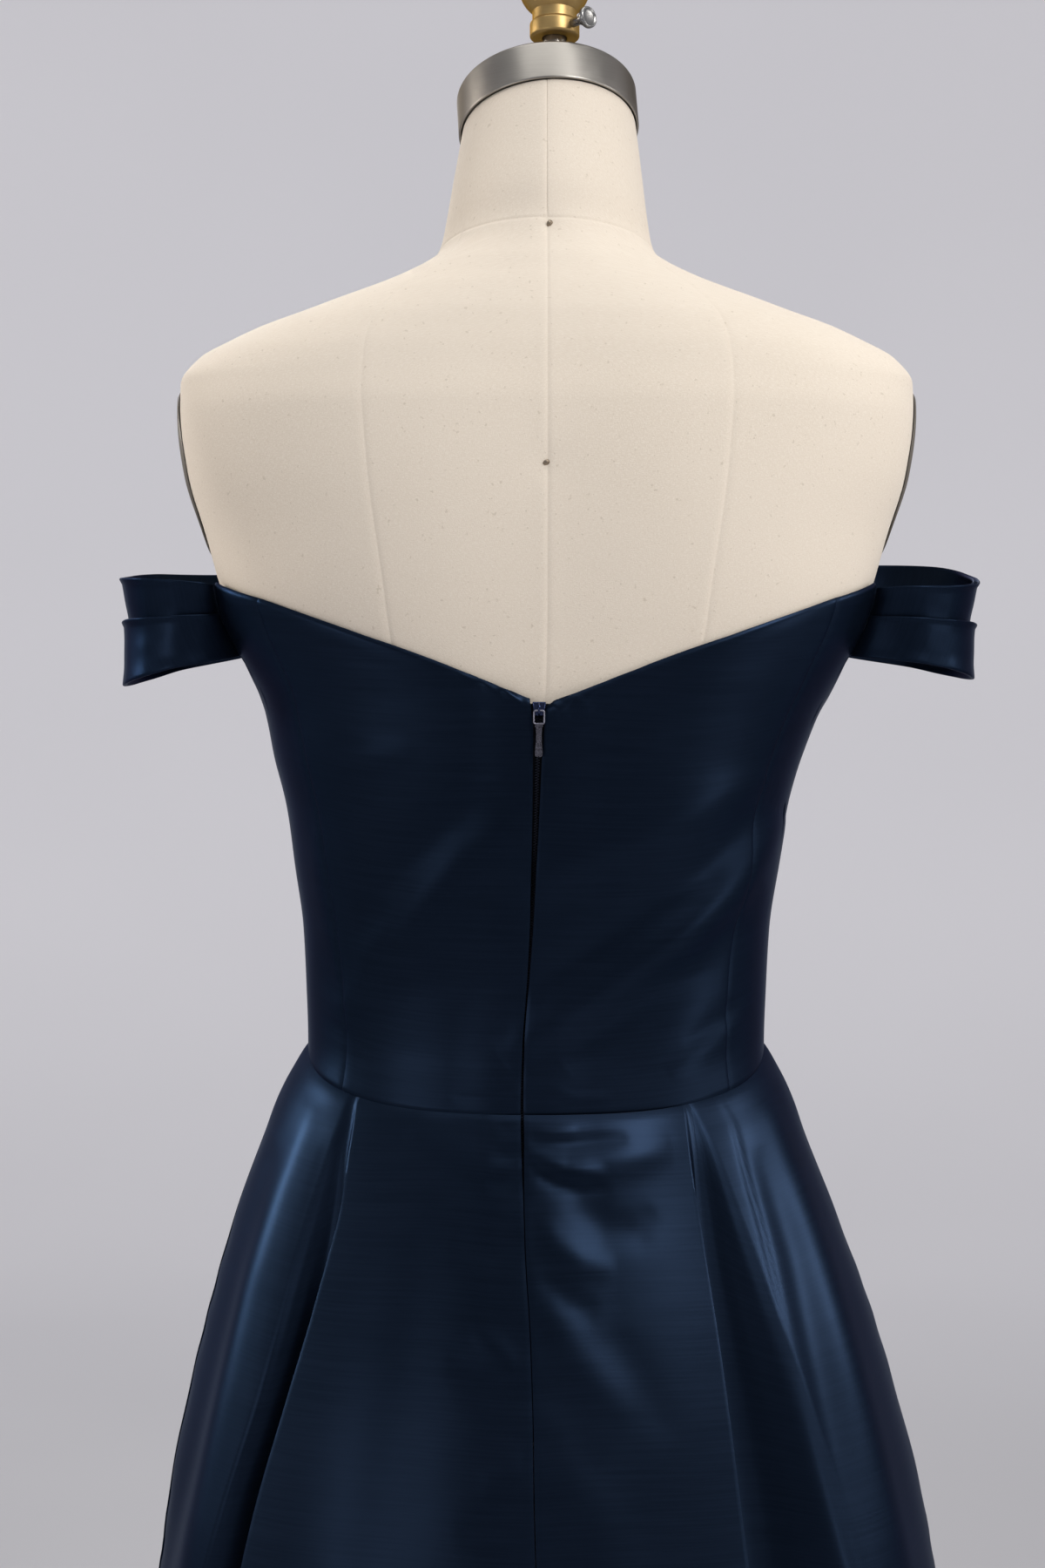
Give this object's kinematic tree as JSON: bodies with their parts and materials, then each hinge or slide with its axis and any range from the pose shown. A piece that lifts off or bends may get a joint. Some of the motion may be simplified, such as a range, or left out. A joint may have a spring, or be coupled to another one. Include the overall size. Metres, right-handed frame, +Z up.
{
  "type": "a-line gown on a dress form",
  "caption": "Floor-length off-the-shoulder a-line gown in navy satin with a V back, centre back zip and deep skirt pleats, standing on a linen-covered limbless dress form",
  "frame": {"origin": "on the floor, at the centre of the base's underside", "axes": "+Z up along the post, +Y towards the gown's back with the zip, +X towards the wearer's left"},
  "size_m": [0.6591, 0.6098, 1.6106],
  "materials": {
    "navy_satin": "heavy polyester satin with a soft sheen, midnight navy",
    "zip_tape": "woven navy zip tape",
    "zip_metal": "dark navy painted metal",
    "linen": "plain woven cream linen",
    "brushed_steel": "brushed, satin",
    "brass": "aged, softly polished",
    "plate": "satin grey-brown paint",
    "iron": "black satin enamel"
  },
  "bodies": {
    "root": {"bodice_back_left": "navy_satin", "bodice_back_right": "navy_satin", "bodice_front": "navy_satin", "bodice_side_back_left": "navy_satin", "bodice_side_back_right": "navy_satin", "form_arm_plate_left": "plate", "form_arm_plate_right": "plate", "form_finial": "brass", "form_neck_cap": "brushed_steel", "form_torso": "linen", "skirt_back_left": "navy_satin", "skirt_back_right": "navy_satin", "skirt_front": "navy_satin", "stand_base": "iron", "stand_post": "brushed_steel", "strap_left_lower": "navy_satin", "strap_left_upper": "navy_satin", "strap_right_lower": "navy_satin", "strap_right_upper": "navy_satin", "zip_slider": "zip_metal", "zip_tape": "zip_tape"},
    "zip_pull": {"zip_pull_tab": "zip_metal"},
    "thumb_screw": {"form_thumb_screw": "brushed_steel"}
  },
  "joints": [
    {"name": "zip_pull_swing", "type": "hinge", "parent": "root", "child": "zip_pull", "pos_m": [0.00169, 0.1135, 1.20785], "axis": [0.9997, 0.0021, 0.0225], "range_deg": [0, 165]},
    {"name": "thumb_screw_turn", "type": "hinge", "parent": "root", "child": "thumb_screw", "pos_m": [-0.00692, -0.01525, 1.56758], "axis": [-0.7071, 0.7002, 0.0984], "continuous": true}
  ]
}
